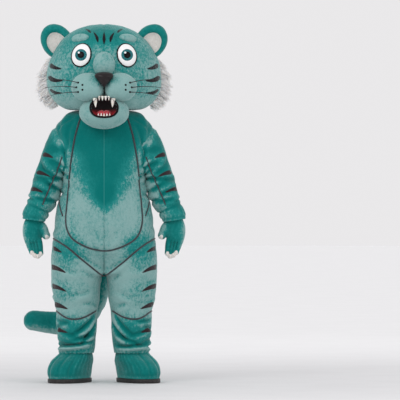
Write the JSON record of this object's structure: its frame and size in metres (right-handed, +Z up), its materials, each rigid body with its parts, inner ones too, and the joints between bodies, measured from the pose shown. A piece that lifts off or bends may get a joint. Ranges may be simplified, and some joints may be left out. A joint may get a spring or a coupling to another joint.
{
  "type": "tiger mascot costume",
  "caption": "Hollow plush tiger costume as worn: body suit with stuffed tail, mitts, boots and a foam head with open mouth.",
  "frame": {"origin": "on the centre line at shoulder height, 1.34 m above the soles, where the wearer's shoulders carry the suit", "axes": "+Z up, -Y the way the costume faces, +X the costume's own left"},
  "size_m": [0.8411, 0.761, 1.848],
  "materials": {
    "teal_plush": "short-pile plush, deep teal brushed to paler patches",
    "pale_teal_plush": "short-pile plush, pale grey teal",
    "white_plush": "short-pile plush, off-white",
    "white_fur": "long faux fur, white",
    "black_gloss": "glossy",
    "white_gloss": "glossy",
    "mouth_red": "short felt, dark red",
    "tongue_pink": "felt, red",
    "sole_rubber": "matte",
    "whisker": "stiff nylon"
  },
  "bodies": {
    "root": {"back_centre": "teal_plush", "back_side_L": "teal_plush", "back_side_R": "teal_plush", "back_yoke": "teal_plush", "belly_panel": "teal_plush", "boot_sole_L": "sole_rubber", "boot_sole_R": "sole_rubber", "boot_upper_L": "teal_plush", "boot_upper_R": "teal_plush", "brow_L": "pale_teal_plush", "brow_R": "pale_teal_plush", "cheek_fur_L": "white_fur", "cheek_fur_R": "white_fur", "ear_L": "teal_plush", "ear_R": "teal_plush", "ear_inner_L": "white_plush", "ear_inner_R": "white_plush", "eye_L": "white_gloss", "eye_R": "white_gloss", "fang_L": "white_gloss", "fang_R": "white_gloss", "front_side_L": "teal_plush", "front_side_R": "teal_plush", "head_back_L": "teal_plush", "head_back_R": "teal_plush", "head_face_L": "teal_plush", "head_face_R": "teal_plush", "hip_back_L": "teal_plush", "hip_back_R": "teal_plush", "jaw": "pale_teal_plush", "leg_back_L": "teal_plush", "leg_back_R": "teal_plush", "mitt_back_L": "teal_plush", "mitt_back_R": "teal_plush", "mitt_palm_L": "white_plush", "mitt_palm_R": "white_plush", "mouth_lining": "mouth_red", "muzzle_L": "pale_teal_plush", "muzzle_R": "pale_teal_plush", "nose": "black_gloss", "nose_bridge": "teal_plush", "seat_panel": "teal_plush", "shin_front_L": "teal_plush", "shin_front_R": "teal_plush", "sleeve_back_L": "teal_plush", "sleeve_back_R": "teal_plush", "sleeve_front_L": "teal_plush", "sleeve_front_R": "teal_plush", "tail": "teal_plush", "teeth_lower": "white_gloss", "teeth_upper": "white_gloss", "thigh_front_L": "teal_plush", "thigh_front_R": "teal_plush", "tongue": "tongue_pink", "whiskers_L": "whisker", "whiskers_R": "whisker"}
  },
  "joints": []
}
